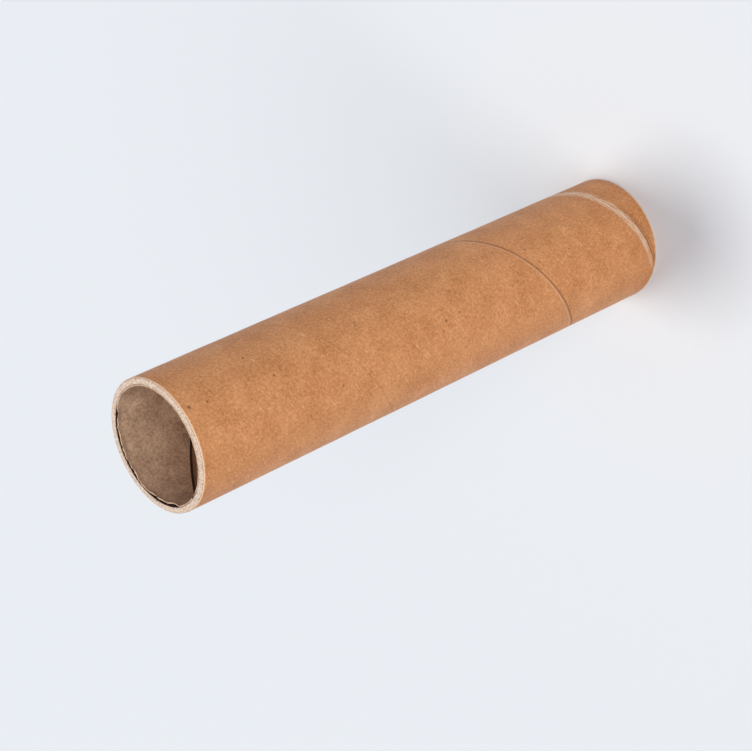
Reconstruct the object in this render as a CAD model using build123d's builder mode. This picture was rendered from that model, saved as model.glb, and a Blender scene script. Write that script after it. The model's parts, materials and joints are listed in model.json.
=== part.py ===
"""Spiral-wound cardboard mailing tube, open at both ends, standing on one of them.

Strips of chipboard and kraft paper are wound round a mandrel, glued into one wall and cut to
length. The tube's axis is Z, and the origin is the centre of the end that it stands on.
"""

import os
from math import floor

from build123d import *

# Driving dimensions, in millimetres.
bore_diameter = 36.0
wall_thickness = 2.4
tube_length = 192.0
edge_radius = 0.6           # outer corner of each cut end, rubbed round

# The long edges of a wound strip meet in a butt seam, which climbs the wall as a helix.
# A seam's place is the height at which it crosses the tube's +X side.
seam_lead = 80.0            # climb in one turn
outer_seam_place = 62.7
outer_seam_width = 0.5
outer_seam_depth = 0.25
bore_seam_place = 57.6
bore_seam_width = 0.6
bore_seam_depth = 0.3
seam_floor_share = 0.4      # width of a seam's floor as a share of its width at the mouth

# Worked out from the driving dimensions.
bore_radius = bore_diameter / 2
outer_radius = bore_radius + wall_thickness


def one_turn(radius, width, depth, outwards):
    """One turn of a seam's groove as a solid; outwards is 1 on the outer wall, -1 in the bore.

    It starts at height 0 on the +X side. The sides of its trapezium run on in line past the
    mouth, so that it stands clear of the surface that it is cut from.
    """
    half_floor = width * seam_floor_share / 2
    half_top = width - half_floor
    with BuildPart(mode=Mode.PRIVATE) as groove:
        with BuildLine() as route:
            Helix(pitch=seam_lead, height=seam_lead, radius=radius)
        start_plane = Plane(
            origin=route.line @ 0,
            x_dir=(outwards, 0, 0),
            z_dir=route.line % 0,
        )
        with BuildSketch(start_plane):
            with BuildLine():
                Polyline(
                    (-depth, -half_floor),
                    (depth, -half_top),
                    (depth, half_top),
                    (-depth, half_floor),
                    close=True,
                )
            make_face()
        sweep(path=route.line, is_frenet=True)
    return groove.part


def turn_starts(place):
    """Where each turn of a seam starts, from below the foot to above the top."""
    turns_below = floor(place / seam_lead) + 1
    turns_above = floor((tube_length - place) / seam_lead) + 1
    return [(0, 0, place + turn * seam_lead) for turn in range(-turns_below, turns_above)]


# The wall: strips glued into one piece, with both ends cut square.
with BuildPart() as tube:
    with BuildSketch(Plane.XY):
        Circle(radius=outer_radius)
        Circle(radius=bore_radius, mode=Mode.SUBTRACT)
    extrude(amount=tube_length)

    outer_rims = tube.edges().filter_by(GeomType.CIRCLE).group_by(lambda rim: rim.radius)[-1]
    fillet(outer_rims, radius=edge_radius)

    with Locations(turn_starts(outer_seam_place)):
        add(one_turn(outer_radius, outer_seam_width, outer_seam_depth, 1), mode=Mode.SUBTRACT)
    with Locations(turn_starts(bore_seam_place)):
        add(one_turn(bore_radius, bore_seam_width, bore_seam_depth, -1), mode=Mode.SUBTRACT)

tube.part.label = "tube"

os.makedirs("parts", exist_ok=True)
export_step(tube.part, "parts/tube.step")
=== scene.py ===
# %% [markdown]
# # A spiral-wound cardboard mailing tube
#
# The object is one piece: strips of chipboard and kraft paper, wound round a mandrel and glued.
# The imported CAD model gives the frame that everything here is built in. It is loaded first, so
# that every size below can be read from it, and the visual model can't drift away from it.

# %% The frame
import json
import math

import bpy
from mathutils import Matrix, Quaternion, Vector, noise


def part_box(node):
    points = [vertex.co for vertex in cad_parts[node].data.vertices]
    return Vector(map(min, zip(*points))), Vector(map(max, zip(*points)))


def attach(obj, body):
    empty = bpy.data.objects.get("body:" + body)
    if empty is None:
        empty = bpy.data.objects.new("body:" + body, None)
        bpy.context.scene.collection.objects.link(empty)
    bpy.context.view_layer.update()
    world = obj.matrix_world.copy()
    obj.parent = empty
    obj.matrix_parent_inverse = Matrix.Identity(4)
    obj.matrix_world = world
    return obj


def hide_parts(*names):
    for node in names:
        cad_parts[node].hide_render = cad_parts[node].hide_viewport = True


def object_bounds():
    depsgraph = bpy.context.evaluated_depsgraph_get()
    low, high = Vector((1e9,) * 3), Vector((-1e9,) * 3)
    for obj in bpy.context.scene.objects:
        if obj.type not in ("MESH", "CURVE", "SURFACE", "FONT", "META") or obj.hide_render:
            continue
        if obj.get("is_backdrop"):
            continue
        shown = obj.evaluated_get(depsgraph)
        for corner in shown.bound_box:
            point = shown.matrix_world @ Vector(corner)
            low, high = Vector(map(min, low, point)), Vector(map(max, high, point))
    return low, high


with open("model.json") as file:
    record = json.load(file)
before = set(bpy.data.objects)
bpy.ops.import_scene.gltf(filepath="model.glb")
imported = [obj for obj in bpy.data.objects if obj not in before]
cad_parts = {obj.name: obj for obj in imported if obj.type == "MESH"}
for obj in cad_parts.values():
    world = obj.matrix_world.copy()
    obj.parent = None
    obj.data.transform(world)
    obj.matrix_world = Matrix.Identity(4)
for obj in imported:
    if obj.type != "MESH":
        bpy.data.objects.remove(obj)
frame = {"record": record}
cad_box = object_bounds()
MM = 0.001
print("CAD box, mm:", [[round(value / MM, 2) for value in corner] for corner in cad_box])

# %% [markdown]
# The tube's own sizes come from the CAD node's box and from its mounts: the bore gives the inner
# radius, and the straight part of the outer wall stops short of each end by the corner's radius.

# %% Sizes read from the frame
foot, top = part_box("tube")
mounts = {mount["name"]: mount for mount in frame["record"]["mounts"]}
TUBE_LENGTH = top.z - foot.z
OUTER_RADIUS = mounts["outer_wall"]["dims"]["r_mm"] * MM
BORE_RADIUS = mounts["bore"]["dims"]["r_mm"] * MM
CORNER_RADIUS = (TUBE_LENGTH - mounts["outer_wall"]["dims"]["length_mm"] * MM) / 2
WALL = OUTER_RADIUS - BORE_RADIUS
print(f"length {TUBE_LENGTH / MM:.1f} mm, wall {WALL / MM:.2f} mm, corner {CORNER_RADIUS / MM:.2f} mm")

# %% [markdown]
# The strips climb the tube at the same lead in every layer, because one machine winds them all.
# Where the two long edges of a strip meet there is a butt seam. A seam's place is the height at
# which it crosses the tube's +X side, so its angle at the foot follows from the lead. The
# innermost ply is called the liner here. It has come loose at the top, which leaves a narrow
# gap behind it.

# %% Sizes of the winding, the seams and the crack
SEAM_LEAD = 80 * MM
OUTER_SEAM_PLACE = 62.7 * MM
BORE_SEAM_PLACE = 57.6 * MM
SEAM_WIDTH = 0.5 * MM
SEAM_DEPTH = 0.11 * MM
BORE_SEAM_WIDTH = 0.6 * MM
BORE_SEAM_DEPTH = 0.3 * MM
LINER_THICKNESS = 0.35 * MM
LINER_GAP = 0.06 * MM
LINER_GAP_DEPTH = 2.5 * MM


def angle_at_foot(place):
    """The angle round the tube, from +X, at which a seam starts at the foot."""
    return -2 * math.pi * place / SEAM_LEAD


OUTER_SEAM_ANGLE = angle_at_foot(OUTER_SEAM_PLACE)
BORE_SEAM_ANGLE = angle_at_foot(BORE_SEAM_PLACE)
TWIST = 2 * math.pi * TUBE_LENGTH / SEAM_LEAD
print(f"the strips turn {math.degrees(TWIST):.0f} degrees from foot to top")

# %% [markdown]
# Modelling here goes in and out of edit mode many times. Operators act on everything that is
# selected, so two helpers do the selecting: one clears the selection, and one picks vertices by
# a test on their place. Edges and faces follow from the vertices.


# %% Helpers for selecting
SLACK = 0.01 * MM


def deselect_everything():
    if bpy.context.mode != "OBJECT":
        bpy.ops.object.mode_set(mode="OBJECT")
    bpy.ops.object.select_all(action="DESELECT")


def select_vertices(piece, test):
    """In edit mode, selects the vertices whose place passes the test, and nothing else."""
    bpy.ops.mesh.select_mode(type="VERT")
    bpy.ops.mesh.select_all(action="DESELECT")
    bpy.ops.object.mode_set(mode="OBJECT")
    for vertex in piece.data.vertices:
        vertex.select = test(vertex.co)
    count = sum(vertex.select for vertex in piece.data.vertices)
    bpy.ops.object.mode_set(mode="EDIT")
    return count


def count_vertices(piece):
    """Edit mode works on a copy of the mesh, so the copy is written back before counting."""
    piece.update_from_editmode()
    return len(piece.data.vertices)


def near(value, wanted, slack=SLACK):
    return abs(value - wanted) < slack


def radius_of(place):
    return math.hypot(place.x, place.y)


print(f"places closer than {SLACK / MM} mm count as the same")


# %% [markdown]
# The wall could start as a cylinder, but its section says more: a thin upright rectangle with
# two rounded outer corners, spun round the axis as on a lathe. The rectangle is a plane
# primitive, stretched in edit mode. The corners are rounded with a vertex bevel, and the face is
# deleted: only the outline is left, because a spin turns edges into walls.

# %% The section of the wall
CORNER_SEGMENTS = 4

deselect_everything()
bpy.ops.mesh.primitive_plane_add(size=1, rotation=(math.pi / 2, 0, 0))
tube = bpy.context.object
tube.name = "wound_tube"
bpy.ops.object.transform_apply(rotation=True)
bpy.ops.object.mode_set(mode="EDIT")
bpy.ops.transform.resize(value=(WALL, 1, TUBE_LENGTH), center_override=(0, 0, 0))
bpy.ops.transform.translate(value=((BORE_RADIUS + OUTER_RADIUS) / 2, 0, TUBE_LENGTH / 2))
select_vertices(tube, lambda place: near(place.x, OUTER_RADIUS))
bpy.ops.mesh.bevel(offset=CORNER_RADIUS, segments=CORNER_SEGMENTS, affect="VERTICES")
bpy.ops.mesh.select_all(action="SELECT")
bpy.ops.mesh.delete(type="ONLY_FACE")
print("points in the outline:", count_vertices(tube))

# %% [markdown]
# The outline needs more points. The long sides get rows, for the twist that comes later. One
# subdivision makes at most 100 cuts, so they are halved first. Both cut ends get a few rings.

# %% Rows and rings
ROWS = 160
END_RINGS = 5

for side in (BORE_RADIUS, OUTER_RADIUS):
    select_vertices(tube, lambda place: near(place.x, side))
    bpy.ops.mesh.subdivide(number_cuts=1)
    bpy.ops.mesh.subdivide(number_cuts=ROWS // 2 - 1)
inside_the_corner = OUTER_RADIUS - CORNER_RADIUS + SLACK
for height in (0, TUBE_LENGTH):
    select_vertices(
        tube, lambda place: near(place.z, height) and place.x < inside_the_corner
    )
    bpy.ops.mesh.subdivide(number_cuts=END_RINGS)
    print("points in the outline:", count_vertices(tube))

# %% [markdown]
# At the top, the innermost ply has come loose from the next one, so the outline dips between
# them. Two of the end's points move to the crack's mouth, and one between them is pulled down
# to its floor. The crack's walls and the face of the loose ply then get points of their own,
# because both will be bent and torn later.

# %% The crack behind the liner
LIP_ROWS = 4
LINER_CUTS = 2

crack_inside = BORE_RADIUS + LINER_THICKNESS
crack_outside = crack_inside + LINER_GAP
crack_middle = (crack_inside + crack_outside) / 2
crack_floor = TUBE_LENGTH - LINER_GAP_DEPTH - SLACK
two_rows_down = TUBE_LENGTH - 2 * TUBE_LENGTH / ROWS - SLACK
ring_step = (WALL - CORNER_RADIUS) / (END_RINGS + 1)


def at_the_rim(place):
    return near(place.z, TUBE_LENGTH)


def in_the_crack(place):
    return crack_inside - SLACK < place.x < crack_outside + SLACK


for ring, wanted in ((1, crack_inside), (2, crack_outside)):
    old_place = BORE_RADIUS + ring * ring_step
    select_vertices(tube, lambda place: at_the_rim(place) and near(place.x, old_place))
    bpy.ops.transform.translate(value=(wanted - old_place, 0, 0))
select_vertices(tube, lambda place: at_the_rim(place) and in_the_crack(place))
bpy.ops.mesh.subdivide(number_cuts=1)
select_vertices(tube, lambda place: at_the_rim(place) and near(place.x, crack_middle))
bpy.ops.transform.translate(value=(0, 0, -LINER_GAP_DEPTH))
select_vertices(tube, lambda place: place.z > crack_floor and in_the_crack(place))
bpy.ops.mesh.subdivide(number_cuts=LIP_ROWS)
select_vertices(tube, lambda place: place.z > two_rows_down and near(place.x, BORE_RADIUS))
bpy.ops.mesh.subdivide(number_cuts=LINER_CUTS)
print("points in the outline:", count_vertices(tube))

# %% [markdown]
# One spin makes the whole tube. It starts at the angle where the outer seam stands at the foot,
# so that a column of edges runs exactly along that seam, and the count of columns is chosen so
# that another column lies along the bore's seam. The last step of a full turn lands on the
# first, so doubled points are merged, and the normals are then made to point outwards.

# %% Spin the section round the axis
COLUMNS = 188

bpy.ops.mesh.select_all(action="SELECT")
bpy.ops.transform.rotate(
    value=-OUTER_SEAM_ANGLE, orient_axis="Z", center_override=(0, 0, 0)
)
bpy.ops.mesh.spin(steps=COLUMNS, angle=2 * math.pi, center=(0, 0, 0), axis=(0, 0, 1))
bpy.ops.mesh.select_all(action="SELECT")
bpy.ops.mesh.remove_doubles(threshold=SLACK / 2)
bpy.ops.mesh.normals_make_consistent(inside=False)
print("points after the spin:", count_vertices(tube))

# %% [markdown]
# A butt seam is a shallow groove, where the strip's two edges don't quite meet. The tube is
# still straight, so each seam is one upright column of edges. A bevel with two segments splits
# the column into three, and the middle one is pressed into the wall. The resize operator does
# that, centred on the tube's axis. Widths are measured round the tube here and across the seam
# on the finished tube, so they are divided by the sine of the winding angle. The outer seam
# also runs over the rounded corners, so it reaches a little deeper than their radius.

# %% Press the two seams in
ANGLE_SLACK = math.radians(0.2)
CORNER_REACH = 1.1 * CORNER_RADIUS


def angle_from(place, start):
    """The angle from start to a place round the axis, between -180 and 180 degrees."""
    turn = math.atan2(place.y, place.x) - start
    return (turn + math.pi) % (2 * math.pi) - math.pi


def winding_sine(radius):
    """The sine of the angle between the strip's edge and the tube's rings."""
    return SEAM_LEAD / math.hypot(SEAM_LEAD, 2 * math.pi * radius)


def press_seam(piece, angle, radius, reach, depth, width):
    """Bevels a column of edges, within reach of the radius, and presses its middle line in."""

    def on_the_line(place):
        on_the_wall = near(radius_of(place), radius, reach)
        return on_the_wall and abs(angle_from(place, angle)) < ANGLE_SLACK

    select_vertices(piece, on_the_line)
    bpy.ops.mesh.select_mode(type="EDGE")
    half_round_the_tube = width / winding_sine(radius) / 2
    bpy.ops.mesh.bevel(offset=half_round_the_tube, segments=2, affect="EDGES")
    count = select_vertices(piece, on_the_line)
    scale = 1 + depth / radius
    bpy.ops.transform.resize(value=(scale, scale, 1), center_override=(0, 0, 0))
    return count


turn_of_a_column = 2 * math.pi / COLUMNS
columns_between = round((BORE_SEAM_ANGLE - OUTER_SEAM_ANGLE) / turn_of_a_column)
bore_column_angle = OUTER_SEAM_ANGLE + columns_between * turn_of_a_column
print("points pressed in:", press_seam(
    tube, OUTER_SEAM_ANGLE, OUTER_RADIUS, CORNER_REACH, -SEAM_DEPTH, SEAM_WIDTH
))
print("points pressed in:", press_seam(
    tube, bore_column_angle, BORE_RADIUS, LINER_GAP, BORE_SEAM_DEPTH, BORE_SEAM_WIDTH
))

# %% [markdown]
# The seams and the paper's streaks follow the winding, so the materials need to know where a
# point was on the straight tube. That place is kept as an attribute of the mesh before the
# twist, turned so that the outer seam lies along its +X side.

# %% Remember the straight tube
STRAIGHT_PLACE = "straight_place"

bpy.ops.object.mode_set(mode="OBJECT")
straight = tube.data.attributes.new(STRAIGHT_PLACE, "FLOAT_VECTOR", "POINT")
turn_back = Matrix.Rotation(-OUTER_SEAM_ANGLE, 4, "Z")
for vertex, kept in zip(tube.data.vertices, straight.data):
    kept.vector = turn_back @ vertex.co
print("places kept:", len(straight.data))

# %% [markdown]
# A real tube gets its winding from strips laid on at an angle. A simple deform modifier gives
# the same thing: it twists the straight tube about its axis, evenly from foot to top, and the
# upright seams become helices.

# %% Wind the tube
deselect_everything()
tube.select_set(True)
bpy.context.view_layer.objects.active = tube
winding = tube.modifiers.new("winding", "SIMPLE_DEFORM")
winding.deform_method = "TWIST"
winding.deform_axis = "Z"
winding.angle = TWIST
bpy.ops.object.modifier_apply(modifier=winding.name)
pressed = [
    vertex.co for vertex in tube.data.vertices
    if near(radius_of(vertex.co), OUTER_RADIUS - SEAM_DEPTH, 2 * SLACK)
]
crossing = min(pressed, key=lambda place: abs(place.z - OUTER_SEAM_PLACE))
print(f"the seam is {math.degrees(angle_from(crossing, 0)):.1f} degrees from +X"
      f" at height {crossing.z / MM:.1f} mm")

# %% [markdown]
# The innermost ply, the liner, has come unglued at the top. Its lip leans into the bore and its
# edge is torn low in places, most on a few stretches of the rim. Each stretch is given by its
# start and end in degrees from +X, and by how loose it is. This is done point by point in
# code, as a sculptor would push them, because the tear has to follow the rim's angle. Noise
# from a fixed field gives the raggedness, so every run tears the same way.

# %% Tear the liner's lip
LOOSE_STRETCHES = ((82, 158, 0.85), (140, 186, 0.55), (172, 214, 1.00))
LOOSE_EVERYWHERE = 0.10
LOOSE_FADE = 7
LIP_LEAN = 0.75 * MM
LIP_TEAR = 0.75 * MM
LIP_NICK = 0.10 * MM
LIP_CURL = 1.6
LEAN_WAVES = 6 * MM
LARGE_TEETH = 1.6 * MM
SMALL_TEETH = 0.7 * MM


def eased(value, start, end):
    """Rises smoothly from 0 at start to 1 at end."""
    share = min(max((value - start) / (end - start), 0), 1)
    return share * share * (3 - 2 * share)


def looseness(place):
    """How far the liner has come away at a place's angle: 0 is glued down, 1 is fully loose."""
    degrees = math.degrees(math.atan2(place.y, place.x)) % 360
    loose = LOOSE_EVERYWHERE
    for start, end, strength in LOOSE_STRETCHES:
        rise = eased(degrees, start - LOOSE_FADE, start + LOOSE_FADE)
        fall = 1 - eased(degrees, end - LOOSE_FADE, end + LOOSE_FADE)
        loose = max(loose, strength * rise * fall)
    return loose


def field(place, grain):
    """Smooth noise from -1 to 1 whose lumps are about a grain across."""
    return noise.noise(place / grain)


def with_radius(place, radius):
    scale = radius / radius_of(place)
    return Vector((place.x * scale, place.y * scale, place.z))


liner_points = 0
for vertex in tube.data.vertices:
    place = vertex.co.copy()
    up_the_lip = 1 - (TUBE_LENGTH - place.z) / LINER_GAP_DEPTH
    if up_the_lip < 0.001 or radius_of(place) > crack_middle + LINER_GAP / 10:
        continue
    loose = looseness(place)
    ragged = 0.5 + 0.5 * field(place, LARGE_TEETH) + 0.35 * field(place, SMALL_TEETH)
    lean = LIP_LEAN * loose * (1 + 0.3 * field(place, LEAN_WAVES)) * up_the_lip ** LIP_CURL
    tear = (LIP_NICK + LIP_TEAR * loose) * min(max(ragged, 0), 1) * up_the_lip
    vertex.co = with_radius(place, radius_of(place) - lean)
    vertex.co.z -= tear
    liner_points += 1
print("points in the liner's lip:", liner_points)

# %% [markdown]
# A saw leaves chipboard fibrous: the cut end is never a clean plane. Its rings are lowered here
# by a tenth of a millimetre or so, more along the crack, where the next ply has lost its edge.

# %% Roughen the cut ends
END_FUZZ = 0.10 * MM
FUZZ_GRAIN = 0.9 * MM
CRACK_CRUMBLE = 0.35 * MM
CRUMB_GRAIN = 1.3 * MM
CRUMB_REACH = 0.5 * MM

roughened_points = 0
for vertex in tube.data.vertices:
    place = vertex.co.copy()
    radius = radius_of(place)
    from_end = min(place.z, TUBE_LENGTH - place.z)
    at_the_top = place.z > TUBE_LENGTH / 2
    if from_end > CORNER_RADIUS or (at_the_top and radius < crack_middle):
        continue
    fuzz = END_FUZZ * (0.5 + 0.5 * field(place, FUZZ_GRAIN))
    if at_the_top:
        beside_the_crack = 1 - eased(radius, crack_outside, crack_outside + CRUMB_REACH)
        crumbs = max(field(place, CRUMB_GRAIN) + 0.2, 0) * (0.3 + looseness(place))
        fuzz += CRACK_CRUMBLE * beside_the_crack * crumbs
    vertex.co.z += -fuzz if at_the_top else fuzz
    roughened_points += 1
print("points in the roughened ends:", roughened_points)

# %% [markdown]
# The wall itself is never quite round: the plies under the paper raise and sink it by a few
# hundredths of a millimetre, which bends the highlights. A displace modifier with a soft cloud
# texture does that. Its group holds the outer wall only, and its strength is negative, so that
# the tube stays inside its real diameter.

# %% Slow waves in the outer wall
WAVE_DEPTH = 0.12 * MM
WAVE_LENGTH = 16 * MM
SHARP_EDGE = math.radians(40)

outer_wall = tube.vertex_groups.new(name="outer_wall")
outer_wall.add(
    [v.index for v in tube.data.vertices if radius_of(v.co) > OUTER_RADIUS - CORNER_RADIUS / 2],
    1, "REPLACE",
)
clouds = bpy.data.textures.new("slow_clouds", "CLOUDS")
clouds.noise_scale = WAVE_LENGTH
waves = tube.modifiers.new("waves", "DISPLACE")
waves.texture = clouds
waves.vertex_group = outer_wall.name
waves.strength = -WAVE_DEPTH
waves.mid_level = 0
bpy.ops.object.modifier_apply(modifier=waves.name)
bpy.ops.object.shade_smooth_by_angle(angle=SHARP_EDGE)
print("widest radius, mm:", round(max(radius_of(v.co) for v in tube.data.vertices) / MM, 3))

# %% [markdown]
# ## The finishes
#
# Colours are written as sRGB hex, as a colour picker shows them, and shaders want linear light,
# so one function converts them. Another adds a node with its settings and its links: a key that
# is an input's name or number gets a value or another node's output. A Mix node has a set of
# sockets for each kind of data, and for colours these are inputs 6 and 7 and output 2.

# %% Colour and node helpers
def linear(hex_colour):
    """An sRGB hex colour as the linear RGBA that a shader socket takes."""
    channels = [int(hex_colour[i:i + 2], 16) / 255 for i in (1, 3, 5)]
    return (*(
        c / 12.92 if c <= 0.04045 else ((c + 0.055) / 1.055) ** 2.4 for c in channels
    ), 1)


def add_node(material, kind, settings=(), **inputs):
    """Adds a node. Settings are its properties. An input is named, with _ for a space, or i0."""
    node = material.node_tree.nodes.new("ShaderNode" + kind)
    for name, value in dict(settings).items():
        setattr(node, name, value)
    for name, value in inputs.items():
        numbered = name[0] == "i" and name[1:].isdigit()
        socket = node.inputs[int(name[1:]) if numbered else name.replace("_", " ")]
        if isinstance(value, bpy.types.NodeSocket):
            material.node_tree.links.new(value, socket)
        else:
            socket.default_value = value
    return node


def new_material(name):
    material = bpy.data.materials.new(name)
    material.use_nodes = True
    material.node_tree.nodes.clear()
    return material


def per(size):
    """The scale at which a noise texture's lumps are about that size, in metres."""
    return 1 / size


def tell(material, step):
    print(f"{material.name} has {len(material.node_tree.nodes)} nodes after {step}")


print("mid grey in linear light:", round(linear("#808080")[0], 3))


# %% [markdown]
# ### Kraft paper
#
# The outer ply is unbleached kraft paper: strong brown paper, made from wood pulp, matt with
# long fibres that lie along the strip. It shows a fine mottle under a millimetre across, slow
# clouds, and fainter streaks that climb the tube with the winding. The streaks come from noise
# on the straight tube's places, stretched along its length, which the twist then turns into
# the right direction.

# %% Kraft paper: its own colour
KRAFT_DARK = "#B2692F"
KRAFT_LIGHT = "#F1AB72"
MOTTLE_SIZE = 0.75 * MM
CLOUD_SIZE = 8 * MM
CLOUD_SHARE = 0.35
FIBRE_WIDTH = 0.5 * MM
FIBRE_STRETCH = 10
FIBRE_SHARE = 0.22

kraft = new_material("kraft_paper")
kraft_place = add_node(kraft, "TexCoord").outputs["Object"]
kraft_straight = add_node(
    kraft, "Attribute", {"attribute_name": STRAIGHT_PLACE}
).outputs["Vector"]
kraft_mottle = add_node(
    kraft, "TexNoise", Vector=kraft_place, Scale=per(MOTTLE_SIZE), Detail=4, Roughness=0.7
).outputs["Fac"]
kraft_cloud = add_node(
    kraft, "TexNoise", Vector=kraft_place, Scale=per(CLOUD_SIZE), Detail=2
).outputs["Fac"]
along_the_strip = add_node(
    kraft, "Mapping", Vector=kraft_straight, Scale=(1, 1, 1 / FIBRE_STRETCH)
).outputs["Vector"]
kraft_fibre = add_node(
    kraft, "TexNoise", Vector=along_the_strip, Scale=per(FIBRE_WIDTH), Detail=3
).outputs["Fac"]
mottle_and_fibre = add_node(
    kraft, "Math", {"operation": "MULTIPLY_ADD"},
    i0=kraft_fibre, i1=FIBRE_SHARE, i2=kraft_mottle,
).outputs[0]
kraft_tone = add_node(
    kraft, "Math", {"operation": "MULTIPLY_ADD"},
    i0=kraft_cloud, i1=CLOUD_SHARE, i2=mottle_and_fibre,
).outputs[0]
kraft_share = add_node(
    kraft, "MapRange", Value=kraft_tone, From_Min=0.50, From_Max=1.07
).outputs[0]
kraft_colour = add_node(
    kraft, "Mix", {"data_type": "RGBA"},
    i0=kraft_share, i6=linear(KRAFT_DARK), i7=linear(KRAFT_LIGHT),
).outputs[2]
tell(kraft, "its own colour")

# %% [markdown]
# Here and there a bundle of coarse pulp shows as a pale fleck, longer along the strip than
# across it. Voronoi cells scatter them: each cell has one point, the distance from that point
# draws the fleck, and the cell's random colour shrinks most flecks to nothing.

# %% Kraft paper: pale flecks
FLECK_COLOUR = "#FFD2A6"
FLECK_SPACING = 2.0 * MM
FLECK_SIZE = 0.40 * MM
FLECK_SQUEEZE = 0.45
RANDOM_SHRINK = 1.3

fleck_place = add_node(
    kraft, "Mapping", Vector=kraft_straight, Scale=(1, 1, FLECK_SQUEEZE)
).outputs["Vector"]
fleck = add_node(kraft, "TexVoronoi", Vector=fleck_place, Scale=per(FLECK_SPACING))
fleck_size = add_node(
    kraft, "Math", {"operation": "MULTIPLY"},
    i0=fleck.outputs["Distance"], i1=FLECK_SPACING / FLECK_SIZE,
).outputs[0]
some_flecks = add_node(
    kraft, "Math", {"operation": "MULTIPLY_ADD"},
    i0=fleck.outputs["Color"], i1=RANDOM_SHRINK, i2=fleck_size,
).outputs[0]
fleck_share = add_node(
    kraft, "MapRange", {"interpolation_type": "SMOOTHSTEP"}, Value=some_flecks,
    From_Min=0.3, From_Max=1.2, To_Min=0.6, To_Max=0,
).outputs[0]
kraft_flecked = add_node(
    kraft, "Mix", {"data_type": "RGBA"},
    i0=fleck_share, i6=kraft_colour, i7=linear(FLECK_COLOUR),
).outputs[2]
tell(kraft, "the pale flecks")

# %% [markdown]
# The seam's groove gets a painted dark line of shade. Distance across it is the straight place's Y,
# scaled by the winding angle's sine, on the half of the tube where X is positive. A little of
# the mottle is added to the distance, so that the line wavers. Towards the top of the tube the
# strip's edges have almost closed, and the painted shade fades.

# %% Kraft paper: the seam's painted shade
# painted shade along the seam's groove
SEAM_SHADE_COLOUR = "#8E5530"
SEAM_WAVER = 0.3 * MM
SEAM_SHADE_REACH = 0.62 * MM
SEAM_OPEN_TO = 85 * MM
SEAM_CLOSED_FROM = 110 * MM

kraft_parts = add_node(kraft, "SeparateXYZ", Vector=kraft_straight)
waver = add_node(
    kraft, "Math", {"operation": "MULTIPLY_ADD"},
    i0=kraft_mottle, i1=SEAM_WAVER, i2=-SEAM_WAVER / 2,
).outputs[0]
across = add_node(
    kraft, "Math", {"operation": "MULTIPLY_ADD"},
    i0=kraft_parts.outputs["Y"], i1=winding_sine(OUTER_RADIUS), i2=waver,
).outputs[0]
from_seam = add_node(kraft, "Math", {"operation": "ABSOLUTE"}, i0=across).outputs[0]
seam_half = add_node(
    kraft, "Math", {"operation": "GREATER_THAN"}, i0=kraft_parts.outputs["X"], i1=0
).outputs[0]
seam_shade_line = add_node(
    kraft, "MapRange", {"interpolation_type": "SMOOTHSTEP"}, Value=from_seam,
    From_Min=0, From_Max=SEAM_SHADE_REACH, To_Min=0.66, To_Max=0,
).outputs[0]
seam_open = add_node(
    kraft, "MapRange", {"interpolation_type": "SMOOTHSTEP"}, Value=kraft_parts.outputs["Z"],
    From_Min=SEAM_OPEN_TO, From_Max=SEAM_CLOSED_FROM, To_Min=1, To_Max=0.20,
).outputs[0]
open_half = add_node(
    kraft, "Math", {"operation": "MULTIPLY"}, i0=seam_open, i1=seam_half
).outputs[0]
seam_shade_share = add_node(
    kraft, "Math", {"operation": "MULTIPLY"}, i0=seam_shade_line, i1=open_half
).outputs[0]
tell(kraft, "the seam's dark line")

# %% [markdown]
# Beside the line, on its upper side, is a pale band of painted highlight, on the groove's raised
# edge. The highlight is mixed in first and the painted shade over it.

# %% Kraft paper: the seam's painted highlight
# painted highlight on the seam groove's raised edge
SEAM_HIGHLIGHT_COLOUR = "#EBC7A4"

highlight_rise = add_node(
    kraft, "MapRange", {"interpolation_type": "SMOOTHSTEP"}, Value=across,
    From_Min=-1.5 * MM, From_Max=-0.7 * MM, To_Min=0, To_Max=0.22,
).outputs[0]
highlight_end = add_node(
    kraft, "MapRange", {"interpolation_type": "SMOOTHSTEP"}, Value=across,
    From_Min=-0.55 * MM, From_Max=-0.30 * MM, To_Min=1, To_Max=0,
).outputs[0]
highlight_line = add_node(
    kraft, "Math", {"operation": "MULTIPLY"}, i0=highlight_rise, i1=highlight_end
).outputs[0]
highlight_share = add_node(
    kraft, "Math", {"operation": "MULTIPLY"}, i0=highlight_line, i1=open_half
).outputs[0]
with_seam_highlight = add_node(
    kraft, "Mix", {"data_type": "RGBA"},
    i0=highlight_share, i6=kraft_flecked, i7=linear(SEAM_HIGHLIGHT_COLOUR),
).outputs[2]
with_seam_shade_and_highlight = add_node(
    kraft, "Mix", {"data_type": "RGBA"},
    i0=seam_shade_share, i6=with_seam_highlight, i7=linear(SEAM_SHADE_COLOUR),
).outputs[2]
tell(kraft, "the seam's pale lip")

# %% [markdown]
# Near the foot the paper has been rubbed along a slanting stripe, down to its pale core. The
# stripe's height rises with the angle round the tube, and it narrows towards one side. That is
# arithmetic on the place: an angle from the arctangent, a centre line, and half a width that
# grows with the angle. Noise is added to the height, so that the stripe's edges are torn.

# %% Kraft paper: where the scuff lies
SCUFF_HEIGHT = 13.7 * MM
SCUFF_RISE_PER_DEGREE = 0.135 * MM
SCUFF_SLOPE = SCUFF_RISE_PER_DEGREE * 180 / math.pi
SCUFF_NARROW_AT = math.radians(-92)
SCUFF_NARROW = 0.60 * MM
SCUFF_WIDE_AT = math.radians(8)
SCUFF_WIDE = 1.9 * MM
TEAR_GRAIN = 2.2 * MM
TEAR_DEPTH = 1.6 * MM

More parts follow.
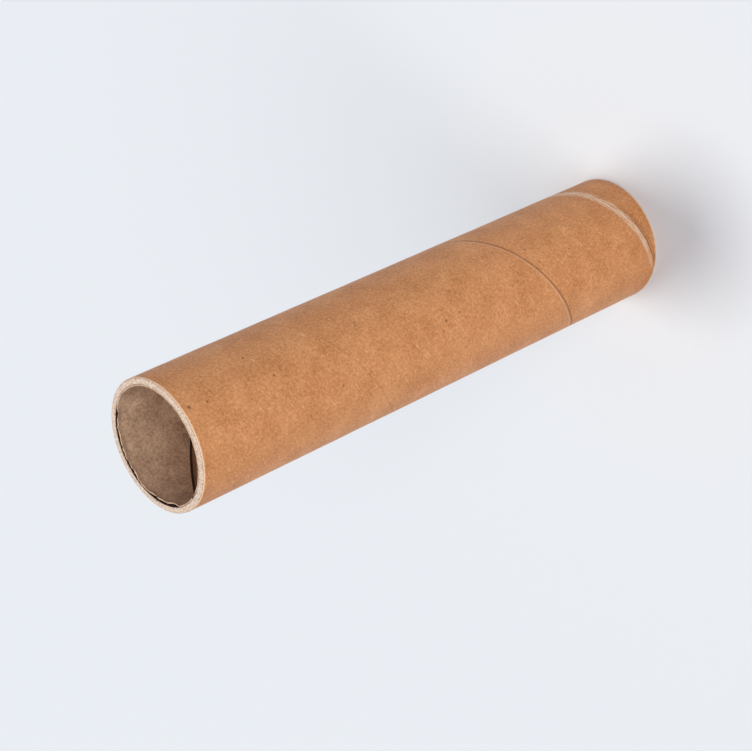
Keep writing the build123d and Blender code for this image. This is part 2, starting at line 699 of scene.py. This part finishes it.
object_parts = add_node(kraft, "SeparateXYZ", Vector=kraft_place)
turn = add_node(
    kraft, "Math", {"operation": "ARCTAN2"},
    i0=object_parts.outputs["Y"], i1=object_parts.outputs["X"],
).outputs[0]
centre_line = add_node(
    kraft, "Math", {"operation": "MULTIPLY_ADD"}, i0=turn, i1=SCUFF_SLOPE, i2=SCUFF_HEIGHT
).outputs[0]
above_line = add_node(
    kraft, "Math", {"operation": "SUBTRACT"}, i0=object_parts.outputs["Z"], i1=centre_line
).outputs[0]
torn_edge = add_node(
    kraft, "TexNoise", Vector=kraft_place, Scale=per(TEAR_GRAIN), Detail=4, Roughness=0.7
).outputs["Fac"]
edge_shift = add_node(
    kraft, "Math", {"operation": "MULTIPLY_ADD"},
    i0=torn_edge, i1=TEAR_DEPTH, i2=-TEAR_DEPTH / 2,
).outputs[0]
half_width = add_node(
    kraft, "MapRange", Value=turn, From_Min=SCUFF_NARROW_AT, From_Max=SCUFF_WIDE_AT,
    To_Min=SCUFF_NARROW, To_Max=SCUFF_WIDE,
).outputs[0]
ragged_place = add_node(
    kraft, "Math", {"operation": "ADD"}, i0=above_line, i1=edge_shift
).outputs[0]
from_line = add_node(kraft, "Math", {"operation": "ABSOLUTE"}, i0=ragged_place).outputs[0]
inside_scuff = add_node(
    kraft, "Math", {"operation": "SUBTRACT"}, i0=half_width, i1=from_line
).outputs[0]
tell(kraft, "the scuff's outline")

# %% [markdown]
# Inside the stripe the paper is pale but streaky, because whatever rubbed it ran along it. The
# streaks are noise on a place that is squeezed round the tube, so each one comes out long. At
# both ends the scuff fades away.

# %% Kraft paper: the scuff's streaks
SCUFF_COLOUR = "#F0D0B0"
STREAK_WIDTH = 0.7 * MM
STREAK_STRETCH = 7
SCUFF_STARTS = (math.radians(-96), math.radians(-80))
SCUFF_FADES = (math.radians(30), math.radians(62))

scuff_body = add_node(
    kraft, "MapRange", {"interpolation_type": "SMOOTHSTEP"}, Value=inside_scuff,
    From_Min=-0.80 * MM, From_Max=0.85 * MM, To_Min=0, To_Max=0.88,
).outputs[0]
scuff_start = add_node(
    kraft, "MapRange", {"interpolation_type": "SMOOTHSTEP"}, Value=turn,
    From_Min=SCUFF_STARTS[0], From_Max=SCUFF_STARTS[1],
).outputs[0]
scuff_end = add_node(
    kraft, "MapRange", {"interpolation_type": "SMOOTHSTEP"}, Value=turn,
    From_Min=SCUFF_FADES[0], From_Max=SCUFF_FADES[1], To_Min=1, To_Max=0,
).outputs[0]
scuff_ends = add_node(
    kraft, "Math", {"operation": "MULTIPLY"}, i0=scuff_start, i1=scuff_end
).outputs[0]
round_the_tube = add_node(
    kraft, "Math", {"operation": "MULTIPLY"}, i0=turn, i1=OUTER_RADIUS / STREAK_STRETCH
).outputs[0]
streak_place = add_node(kraft, "CombineXYZ", X=round_the_tube, Y=above_line).outputs[0]
streak = add_node(
    kraft, "TexNoise", Vector=streak_place, Scale=per(STREAK_WIDTH), Detail=3, Roughness=0.6
).outputs["Fac"]
streak_share = add_node(
    kraft, "MapRange", {"interpolation_type": "SMOOTHSTEP"}, Value=streak,
    From_Min=0.38, From_Max=0.58, To_Min=0.12, To_Max=1,
).outputs[0]
streaky_scuff = add_node(
    kraft, "Math", {"operation": "MULTIPLY"}, i0=scuff_body, i1=streak_share
).outputs[0]
scuff_share = add_node(
    kraft, "Math", {"operation": "MULTIPLY"}, i0=streaky_scuff, i1=scuff_ends
).outputs[0]
with_scuff_and_crease_shade = add_node(
    kraft, "Mix", {"data_type": "RGBA"},
    i0=scuff_share, i6=with_seam_shade_and_highlight, i7=linear(SCUFF_COLOUR),
).outputs[2]
tell(kraft, "the scuff's streaks")

# %% [markdown]
# Below the scuff's narrow part run two thin dark lines of painted shade, for creases where
# the paper was pushed together.
# Each has a gap from the scuff's edge and a thickness, in millimetres, and a strength.

# %% Kraft paper: painted shade of the creases below the scuff
# painted shade for the two creases
CREASE_SHADE_COLOUR = "#8E5B3A"
CREASE_SHADE_LINES = ((0.35, 0.50, 0.90), (1.30, 0.40, 0.65))
CREASE_SHADES_FADE = (math.radians(-50), math.radians(-5))

crease_shade_turn = add_node(
    kraft, "MapRange", {"interpolation_type": "SMOOTHSTEP"}, Value=turn,
    From_Min=CREASE_SHADES_FADE[0], From_Max=CREASE_SHADES_FADE[1], To_Min=1, To_Max=0,
).outputs[0]
from_lower_edge = add_node(
    kraft, "Math", {"operation": "ADD"}, i0=ragged_place, i1=half_width
).outputs[0]
for gap, thickness, strength in CREASE_SHADE_LINES:
    off_crease = add_node(
        kraft, "Math", {"operation": "ADD"}, i0=from_lower_edge, i1=gap * MM
    ).outputs[0]
    from_crease = add_node(
        kraft, "Math", {"operation": "ABSOLUTE"}, i0=off_crease
    ).outputs[0]
    crease_shade_line = add_node(
        kraft, "MapRange", {"interpolation_type": "SMOOTHSTEP"}, Value=from_crease,
        From_Min=0, From_Max=thickness * MM, To_Min=strength, To_Max=0,
    ).outputs[0]
    crease_shade_here = add_node(
        kraft, "Math", {"operation": "MULTIPLY"}, i0=crease_shade_line, i1=crease_shade_turn
    ).outputs[0]
    crease_shade_share = add_node(
        kraft, "Math", {"operation": "MULTIPLY"}, i0=crease_shade_here, i1=scuff_start
    ).outputs[0]
    with_scuff_and_crease_shade = add_node(
        kraft, "Mix", {"data_type": "RGBA"},
        i0=crease_shade_share, i6=with_scuff_and_crease_shade, i7=linear(CREASE_SHADE_COLOUR),
    ).outputs[2]
tell(kraft, "the creases")

# %% [markdown]
# Six dark specks of bark and dirt sit in the paper. Each is given by its angle in degrees, its
# height and its radius in millimetres. A speck is a distance from a point on the wall, measured
# in its own radius, and the smallest of these distances wins.

# %% Kraft paper: dark specks
SPECKS = (
    (-51, 94.8, 0.65), (-58, 97.0, 0.42), (-33, 159.5, 0.50),
    (-8, 164.2, 0.48), (-30, 183.2, 0.55), (-28, 189.2, 0.75),
)
BEYOND_ANY_SPECK = 2.0

nearest_speck = BEYOND_ANY_SPECK
for degrees, height, size in SPECKS:
    centre = Vector((OUTER_RADIUS, 0, height * MM))
    centre.rotate(Matrix.Rotation(math.radians(degrees), 3, "Z"))
    away = add_node(
        kraft, "VectorMath", {"operation": "DISTANCE"}, i0=kraft_place, i1=centre
    ).outputs["Value"]
    in_sizes = add_node(
        kraft, "Math", {"operation": "DIVIDE"}, i0=away, i1=size * MM
    ).outputs[0]
    nearest_speck = add_node(
        kraft, "Math", {"operation": "MINIMUM"}, i0=nearest_speck, i1=in_sizes
    ).outputs[0]
tell(kraft, "the dark specks")

# %% [markdown]
# Finer dust is scattered by Voronoi cells, as the pale flecks are. The specks and the dust share
# one colour and one soft edge.

# %% Kraft paper: dust
SPECK_COLOUR = "#6E4226"
DUST_SPACING = 2.6 * MM
DUST_SIZE = 0.50 * MM

dust = add_node(kraft, "TexVoronoi", Vector=kraft_place, Scale=per(DUST_SPACING))
dust_size = add_node(
    kraft, "Math", {"operation": "MULTIPLY"},
    i0=dust.outputs["Distance"], i1=DUST_SPACING / DUST_SIZE,
).outputs[0]
some_dust = add_node(
    kraft, "Math", {"operation": "MULTIPLY_ADD"},
    i0=dust.outputs["Color"], i1=RANDOM_SHRINK, i2=dust_size,
).outputs[0]
any_speck = add_node(
    kraft, "Math", {"operation": "MINIMUM"}, i0=nearest_speck, i1=some_dust
).outputs[0]
speck_share = add_node(
    kraft, "MapRange", {"interpolation_type": "SMOOTHSTEP"}, Value=any_speck,
    From_Min=0.3, From_Max=1.1, To_Min=0.75, To_Max=0,
).outputs[0]
with_specks = add_node(
    kraft, "Mix", {"data_type": "RGBA"},
    i0=speck_share, i6=with_scuff_and_crease_shade, i7=linear(SPECK_COLOUR),
).outputs[2]
tell(kraft, "the dust")

# %% [markdown]
# The last touch is a painted highlight on the paper's rolled edge at the two ends, where the
# edge turns to the light: paler than the wall over about a millimetre. The mottle makes its
# border ragged.

# %% Kraft paper: painted highlight on the rolled edges
# painted highlight on the rolled edges at both ends
EDGE_HIGHLIGHT_COLOUR = "#FFD2A8"
EDGE_HIGHLIGHT_REACH = 0.6 * MM
EDGE_HIGHLIGHT_RAGGED = 0.8 * MM

from_the_middle = add_node(
    kraft, "Math", {"operation": "SUBTRACT"},
    i0=object_parts.outputs["Z"], i1=TUBE_LENGTH / 2,
).outputs[0]
towards_an_end = add_node(
    kraft, "Math", {"operation": "ABSOLUTE"}, i0=from_the_middle
).outputs[0]
end_ragged = add_node(
    kraft, "Math", {"operation": "MULTIPLY_ADD"},
    i0=kraft_mottle, i1=EDGE_HIGHLIGHT_RAGGED, i2=towards_an_end,
).outputs[0]
edge_highlight_share = add_node(
    kraft, "MapRange", {"interpolation_type": "SMOOTHSTEP"}, Value=end_ragged,
    From_Min=TUBE_LENGTH / 2 - EDGE_HIGHLIGHT_REACH, From_Max=TUBE_LENGTH / 2,
).outputs[0]
kraft_final = add_node(
    kraft, "Mix", {"data_type": "RGBA"},
    i0=edge_highlight_share, i6=with_specks, i7=linear(EDGE_HIGHLIGHT_COLOUR),
).outputs[2]
tell(kraft, "the rubbed edges")

# %% [markdown]
# Machine-pressed kraft has a faint sheen at grazing angles and no more. Its fibres give a fine
# relief, a few hundredths of a millimetre deep, drawn with the bump node from the same noises
# as the colour.

# %% Kraft paper: surface
KRAFT_RELIEF = 0.05 * MM

kraft_relief = add_node(
    kraft, "Bump", Strength=0.7, Distance=KRAFT_RELIEF, Height=kraft_tone
).outputs["Normal"]
kraft_rough = add_node(
    kraft, "MapRange", Value=kraft_mottle, To_Min=0.45, To_Max=0.65
).outputs[0]
kraft_shader = add_node(
    kraft, "BsdfPrincipled", Base_Color=kraft_final, Roughness=kraft_rough,
    Specular_IOR_Level=0.28, Normal=kraft_relief,
)
add_node(kraft, "OutputMaterial", Surface=kraft_shader.outputs["BSDF"])
tell(kraft, "the surface")

# %% [markdown]
# ### Chipboard
#
# Inside, the plies are chipboard made from recycled paper: greyer than kraft, dull, and flecked
# with specks of the old paper. Two noises make the flecks and slower clouds.

# %% Chipboard of the bore: its own colour
BOARD_DARK = "#A07A5E"
BOARD_LIGHT = "#FCD4AE"
BOARD_FLECK_SIZE = 0.8 * MM
BOARD_CLOUD_SIZE = 5 * MM
BOARD_CLOUD_SHARE = 0.6

board = new_material("recycled_chipboard")
board_place = add_node(board, "TexCoord").outputs["Object"]
board_fleck = add_node(
    board, "TexNoise", Vector=board_place, Scale=per(BOARD_FLECK_SIZE), Detail=4, Roughness=0.7
).outputs["Fac"]
board_cloud = add_node(
    board, "TexNoise", Vector=board_place, Scale=per(BOARD_CLOUD_SIZE), Detail=3
).outputs["Fac"]
board_tone = add_node(
    board, "Math", {"operation": "MULTIPLY_ADD"},
    i0=board_cloud, i1=BOARD_CLOUD_SHARE, i2=board_fleck,
).outputs[0]
board_share = add_node(
    board, "MapRange", Value=board_tone, From_Min=0.51, From_Max=1.08
).outputs[0]
board_colour = add_node(
    board, "Mix", {"data_type": "RGBA"},
    i0=board_share, i6=linear(BOARD_DARK), i7=linear(BOARD_LIGHT),
).outputs[2]
tell(board, "its own colour")

# %% [markdown]
# The bore's seam is a slit painted near-black as shade, with a browner band of board on its
# lower side. A Mapping node turns the straight place so that this seam, too, lies along +X, and
# the distance across it is then the place's Y again.

# %% Chipboard of the bore: the seam's painted shade and brown band
# painted shade in the bore seam's slit, and a browner band beside it
BORE_SLIT_SHADE_COLOUR = "#2A130A"
BOARD_BROWN_BAND_COLOUR = "#8A5A38"

board_straight = add_node(
    board, "Attribute", {"attribute_name": STRAIGHT_PLACE}
).outputs["Vector"]
to_bore_seam = add_node(
    board, "Mapping", Vector=board_straight,
    Rotation=(0, 0, OUTER_SEAM_ANGLE - bore_column_angle),
).outputs["Vector"]
board_parts = add_node(board, "SeparateXYZ", Vector=to_bore_seam)
board_across = add_node(
    board, "Math", {"operation": "MULTIPLY"},
    i0=board_parts.outputs["Y"], i1=winding_sine(BORE_RADIUS),
).outputs[0]
board_from_seam = add_node(
    board, "Math", {"operation": "ABSOLUTE"}, i0=board_across
).outputs[0]
board_half = add_node(
    board, "Math", {"operation": "GREATER_THAN"}, i0=board_parts.outputs["X"], i1=0
).outputs[0]
bore_slit_shade = add_node(
    board, "MapRange", {"interpolation_type": "SMOOTHSTEP"}, Value=board_from_seam,
    From_Min=0.25 * MM, From_Max=0.50 * MM, To_Min=0.95, To_Max=0,
).outputs[0]
bore_slit_shade_share = add_node(
    board, "Math", {"operation": "MULTIPLY"}, i0=bore_slit_shade, i1=board_half
).outputs[0]
brown_band_rise = add_node(
    board, "MapRange", {"interpolation_type": "SMOOTHSTEP"}, Value=board_across,
    From_Min=0, From_Max=0.2 * MM, To_Max=0.8,
).outputs[0]
brown_band_end = add_node(
    board, "MapRange", {"interpolation_type": "SMOOTHSTEP"}, Value=board_across,
    From_Min=0.9 * MM, From_Max=2.0 * MM, To_Min=1, To_Max=0,
).outputs[0]
brown_band = add_node(
    board, "Math", {"operation": "MULTIPLY"}, i0=brown_band_rise, i1=brown_band_end
).outputs[0]
brown_band_share = add_node(
    board, "Math", {"operation": "MULTIPLY"}, i0=brown_band, i1=board_half
).outputs[0]
with_brown_band = add_node(
    board, "Mix", {"data_type": "RGBA"},
    i0=brown_band_share, i6=board_colour, i7=linear(BOARD_BROWN_BAND_COLOUR),
).outputs[2]
board_final = add_node(
    board, "Mix", {"data_type": "RGBA"},
    i0=bore_slit_shade_share, i6=with_brown_band, i7=linear(BORE_SLIT_SHADE_COLOUR),
).outputs[2]
tell(board, "the seam")

# %% [markdown]
# Board is rougher than kraft, with a slightly deeper relief and hardly any sheen.

# %% Chipboard of the bore: surface
BOARD_RELIEF = 0.06 * MM

board_relief = add_node(
    board, "Bump", Strength=0.7, Distance=BOARD_RELIEF, Height=board_tone
).outputs["Normal"]
board_shader = add_node(
    board, "BsdfPrincipled", Base_Color=board_final, Roughness=0.8, Normal=board_relief
)
add_node(board, "OutputMaterial", Surface=board_shader.outputs["BSDF"])
tell(board, "the surface")

# %% [markdown]
# ### Cut ends
#
# Where the saw went through, the plies show their torn fibres: cream, fuzzy and much paler than
# either face, with faint rings where one ply meets the next. The rings are a sine of the
# distance from the axis, one wave to a ply.

# %% Cut ends: their own colour
CUT_DARK = "#B48B6C"
CUT_LIGHT = "#FFE6CE"
CUT_FIBRE_SIZE = 0.7 * MM
PLY_THICKNESS = 0.45 * MM
PLY_SHARE = 0.06

cut = new_material("cut_paper_fibre")
cut_place = add_node(cut, "TexCoord").outputs["Object"]
cut_fibre = add_node(
    cut, "TexNoise", Vector=cut_place, Scale=per(CUT_FIBRE_SIZE), Detail=4, Roughness=0.7
).outputs["Fac"]
cut_parts = add_node(cut, "SeparateXYZ", Vector=cut_place)
flat_place = add_node(
    cut, "CombineXYZ", X=cut_parts.outputs["X"], Y=cut_parts.outputs["Y"]
).outputs[0]
cut_radius = add_node(
    cut, "VectorMath", {"operation": "LENGTH"}, i0=flat_place
).outputs["Value"]
ply_phase = add_node(
    cut, "Math", {"operation": "MULTIPLY_ADD"},
    i0=cut_radius, i1=2 * math.pi / PLY_THICKNESS, i2=cut_fibre,
).outputs[0]
ply_wave = add_node(cut, "Math", {"operation": "SINE"}, i0=ply_phase).outputs[0]
cut_tone = add_node(
    cut, "Math", {"operation": "MULTIPLY_ADD"}, i0=ply_wave, i1=PLY_SHARE, i2=cut_fibre
).outputs[0]
cut_share = add_node(cut, "MapRange", Value=cut_tone, From_Min=0.22, From_Max=0.66).outputs[0]
cut_colour = add_node(
    cut, "Mix", {"data_type": "RGBA"},
    i0=cut_share, i6=linear(CUT_DARK), i7=linear(CUT_LIGHT),
).outputs[2]
tell(cut, "its own colour")

# %% [markdown]
# The crack behind the liner is painted dark brown as shade, since little light gets in.
# Everything that lies below the rim at the top end is painted darker as shade, with a ragged start.

# %% Cut ends: painted shade in the crack
# painted shade in the crack and below the rim at the top end
CRACK_SHADE_COLOUR = "#2E160B"
CRACK_SHADE_RAGGED = 0.4 * MM

crack_height = add_node(
    cut, "Math", {"operation": "MULTIPLY_ADD"},
    i0=cut_fibre, i1=CRACK_SHADE_RAGGED, i2=cut_parts.outputs["Z"],
).outputs[0]
crack_shade_deep = add_node(
    cut, "MapRange", {"interpolation_type": "SMOOTHSTEP"}, Value=crack_height,
    From_Min=TUBE_LENGTH - 0.25 * MM, From_Max=TUBE_LENGTH + 0.15 * MM, To_Min=1, To_Max=0,
).outputs[0]
at_the_top_end = add_node(
    cut, "Math", {"operation": "GREATER_THAN"},
    i0=cut_parts.outputs["Z"], i1=TUBE_LENGTH / 2,
).outputs[0]
crack_shade_share = add_node(
    cut, "Math", {"operation": "MULTIPLY"}, i0=crack_shade_deep, i1=at_the_top_end
).outputs[0]
cut_final = add_node(
    cut, "Mix", {"data_type": "RGBA"},
    i0=crack_shade_share, i6=cut_colour, i7=linear(CRACK_SHADE_COLOUR),
).outputs[2]
tell(cut, "the dark crack")

# %% [markdown]
# Torn fibre is the roughest finish of the three, with a relief of a tenth of a millimetre.

# %% Cut ends: surface
CUT_RELIEF = 0.12 * MM

cut_relief = add_node(
    cut, "Bump", Strength=0.8, Distance=CUT_RELIEF, Height=cut_tone
).outputs["Normal"]
cut_shader = add_node(
    cut, "BsdfPrincipled", Base_Color=cut_final, Roughness=0.9, Normal=cut_relief
)
add_node(cut, "OutputMaterial", Surface=cut_shader.outputs["BSDF"])
tell(cut, "the surface")

# %% [markdown]
# One mesh takes all three finishes. A face goes to the chipboard if it lies on the bore or on
# the loose liner, to the kraft if it lies on the outer wall or on the outer part of its rounded
# corner, and to the cut fibre if it is anything else.

# %% Give each face its finish
KRAFT_FROM = OUTER_RADIUS - 0.45 * CORNER_RADIUS

for material in (kraft, board, cut):
    tube.data.materials.append(material)
counts = [0, 0, 0]
for face in tube.data.polygons:
    radius = radius_of(face.center)
    on_the_bore = face.normal.x * face.center.x + face.normal.y * face.center.y < -radius / 2
    if radius > KRAFT_FROM:
        face.material_index = 0
    elif radius < crack_inside - SLACK and (on_the_bore or face.center.z > TUBE_LENGTH / 2):
        face.material_index = 1
    else:
        face.material_index = 2
    counts[face.material_index] += 1
print("faces of kraft, chipboard and cut fibre:", counts)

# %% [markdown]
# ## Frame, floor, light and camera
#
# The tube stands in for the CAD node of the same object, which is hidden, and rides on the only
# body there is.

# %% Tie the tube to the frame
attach(tube, "root")
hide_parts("tube")
print(tube.name, "rides on the root body and stands for the CAD tube")

# %% [markdown]
# The floor is a wide pale plane at the height of the tube's foot. It is matt, so it keeps the
# soft shadow round the foot.

# %% Floor
FLOOR_COLOUR = "#F3F4F3"
FLOOR_SIZE = 12.0

deselect_everything()
bpy.ops.mesh.primitive_plane_add(size=FLOOR_SIZE, location=(0, 0, foot.z))
floor = bpy.context.object
floor.name = "studio_floor"
bpy.ops.object.transform_apply(location=True)
floor_finish = new_material("matt_pale_board")
floor_shader = add_node(
    floor_finish, "BsdfPrincipled", Base_Color=linear(FLOOR_COLOUR), Roughness=1.0,
    Specular_IOR_Level=0.0,
)
add_node(floor_finish, "OutputMaterial", Surface=floor_shader.outputs["BSDF"])
floor.data.materials.append(floor_finish)
floor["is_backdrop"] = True
print(f"the floor is {FLOOR_SIZE:.0f} m across")

# %% [markdown]
# A pale sky lights everything softly and evenly. Two suns are as wide as studio windows: a broad
# key on the camera's side rounds the tube, and a narrower one, almost overhead, gives it the
# soft shadow beside the foot. Each has a level, where 1 would light a white card fully, and
# then an azimuth from +X, an elevation and a width in degrees. To the camera, the sky is a
# plain pale grey, so that the backdrop looks the same whatever the light's strength.

# %% Light
SKY_COLOUR = "#DCE8FE"
BACKDROP_COLOUR = "#EAEFF4"
SKY_STRENGTH = 0.34
LAMPS = (
    ("broad_key", 0.45, -66, 36, 64),
    ("soft_top", 0.42, 120, 79.5, 12),
)

sky = bpy.data.worlds.new("pale_sky")
bpy.context.scene.world = sky
sky.use_nodes = True
sky.node_tree.nodes.clear()
to_camera = add_node(sky, "LightPath").outputs["Is Camera Ray"]
sky_light = add_node(sky, "Background", Color=linear(SKY_COLOUR), Strength=SKY_STRENGTH)
sky_seen = add_node(sky, "Background", Color=linear(BACKDROP_COLOUR), Strength=1.0)
sky_both = add_node(
    sky, "MixShader", i0=to_camera,
    i1=sky_light.outputs["Background"], i2=sky_seen.outputs["Background"],
)
add_node(sky, "OutputWorld", Surface=sky_both.outputs["Shader"])

for name, level, azimuth, elevation, width in LAMPS:
    lamp_data = bpy.data.lights.new(name, "SUN")
    lamp_data.energy = level * math.pi
    lamp_data.angle = math.radians(width)
    lamp = bpy.data.objects.new(name, lamp_data)
    bpy.context.scene.collection.objects.link(lamp)
    towards_lamp = Vector((1, 0, 0))
    towards_lamp.rotate(Matrix.Rotation(-math.radians(elevation), 3, "Y"))
    towards_lamp.rotate(Matrix.Rotation(math.radians(azimuth), 3, "Z"))
    lamp.rotation_euler = towards_lamp.to_track_quat("Z", "Y").to_euler()
    print(name, "shines from", [round(c, 2) for c in towards_lamp])

# %% [markdown]
# The camera looks down at the tube's top end from one side, and is rolled well over, so that
# the tube lies across the picture with its open end nearest.

# %% Camera
CAMERA_PLACE = Vector((373.5, -373.5, 514.7)) * MM
CAMERA_AIM = Vector((-11.25, -0.58, 106.06)) * MM
CAMERA_ROLL = math.radians(-115.25)
CAMERA_LENS = 106.06
SENSOR_WIDTH = 36
NEAREST_SEEN = 0.05

camera_data = bpy.data.cameras.new("camera")
camera_data.lens = CAMERA_LENS
camera_data.sensor_width = SENSOR_WIDTH
camera_data.clip_start = NEAREST_SEEN
camera = bpy.data.objects.new("camera", camera_data)
bpy.context.scene.collection.objects.link(camera)
unrolled = (CAMERA_AIM - CAMERA_PLACE).to_track_quat("-Z", "Y")
rolled = unrolled @ Quaternion((0, 0, 1), CAMERA_ROLL)
camera.location = CAMERA_PLACE
camera.rotation_euler = rolled.to_euler()
bpy.context.scene.camera = camera
print("camera's right:", [round(c, 3) for c in rolled @ Vector((1, 0, 0))])

# %% [markdown]
# Last come the colour settings, which are plain, and the two boxes: the CAD model's, kept from
# the start, and the visual model's. They should hardly differ.

# %% Colour settings, sizes and finish
bpy.context.scene.view_settings.view_transform = "Standard"
visual_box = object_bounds()
boxes = {
    "cad": [list(corner) for corner in cad_box],
    "visual": [list(corner) for corner in visual_box],
}
for name, box in boxes.items():
    print(name, "box, mm:", [[round(value / MM, 2) for value in corner] for corner in box])
